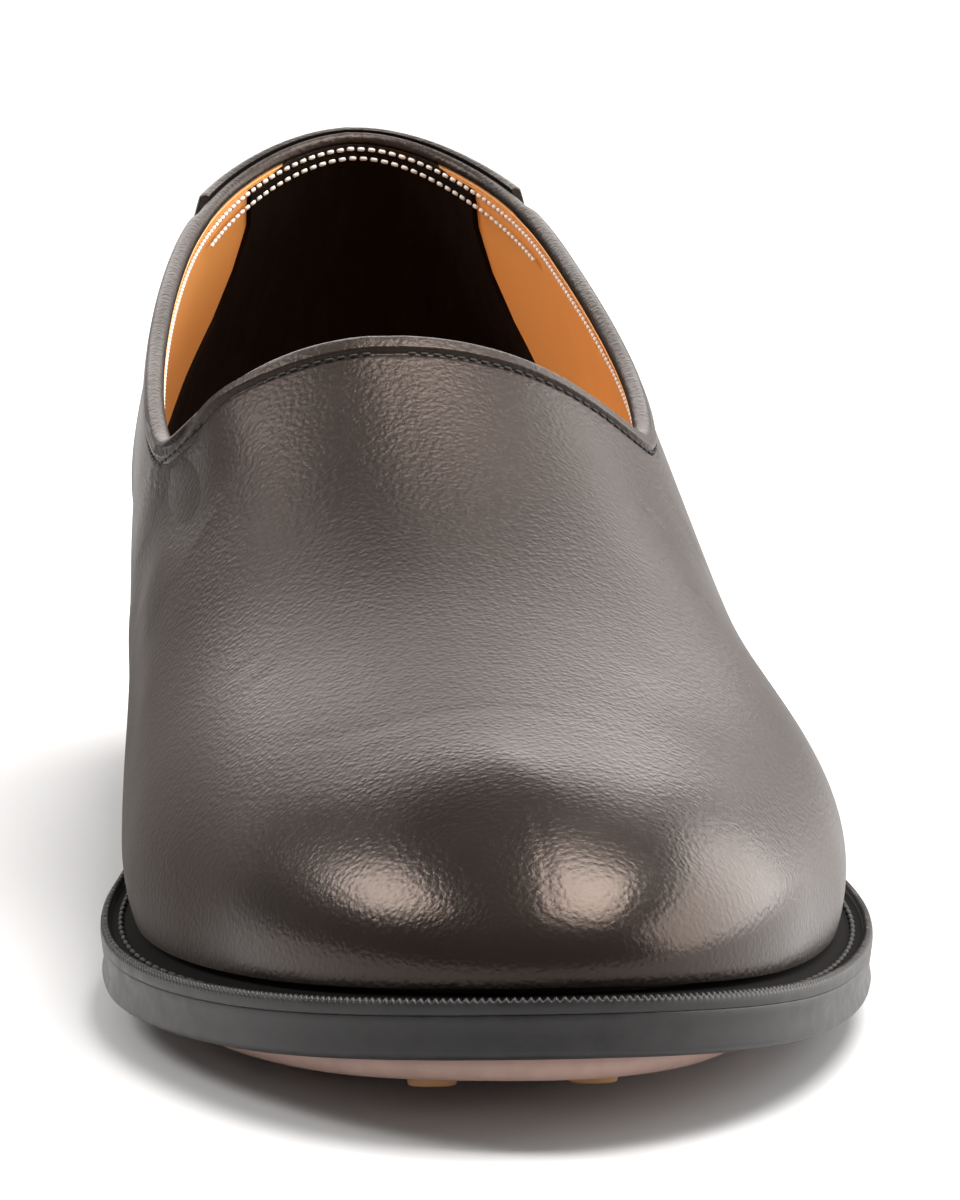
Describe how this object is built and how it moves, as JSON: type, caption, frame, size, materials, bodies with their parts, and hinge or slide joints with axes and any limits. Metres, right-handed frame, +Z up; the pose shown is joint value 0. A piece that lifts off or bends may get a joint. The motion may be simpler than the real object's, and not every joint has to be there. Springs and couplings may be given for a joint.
{
  "type": "slip-on shoe",
  "caption": "Left slip-on shoe of plain dark leather with a low open collar, turned edge, heel overlay, welted sole, stacked heel and studded forefoot pad.",
  "frame": {"origin": "centre of the bounding box in plan, on the floor that the shoe stands on", "axes": "+Z up, +Y from the toe to the heel along the length, +X to the outside of a left foot"},
  "size_m": [0.1048, 0.302, 0.0939],
  "materials": {
    "upper_leather": "fine pebble grain, satin",
    "overlay_leather": "fine pebble grain, satin",
    "insole": "smooth, dull",
    "welt": "inked, satin",
    "outsole": "inked and waxed edge, satin",
    "heel_stack": "inked and waxed, satin",
    "heel_rubber": "matte",
    "pad_rubber": "matte"
  },
  "bodies": {
    "root": {"upper": "upper_leather", "heel_overlay": "overlay_leather", "insole": "insole", "welt": "welt", "outsole": "outsole", "heel_stack": "heel_stack", "heel_top_piece": "heel_rubber", "forefoot_pad": "pad_rubber"}
  },
  "joints": []
}
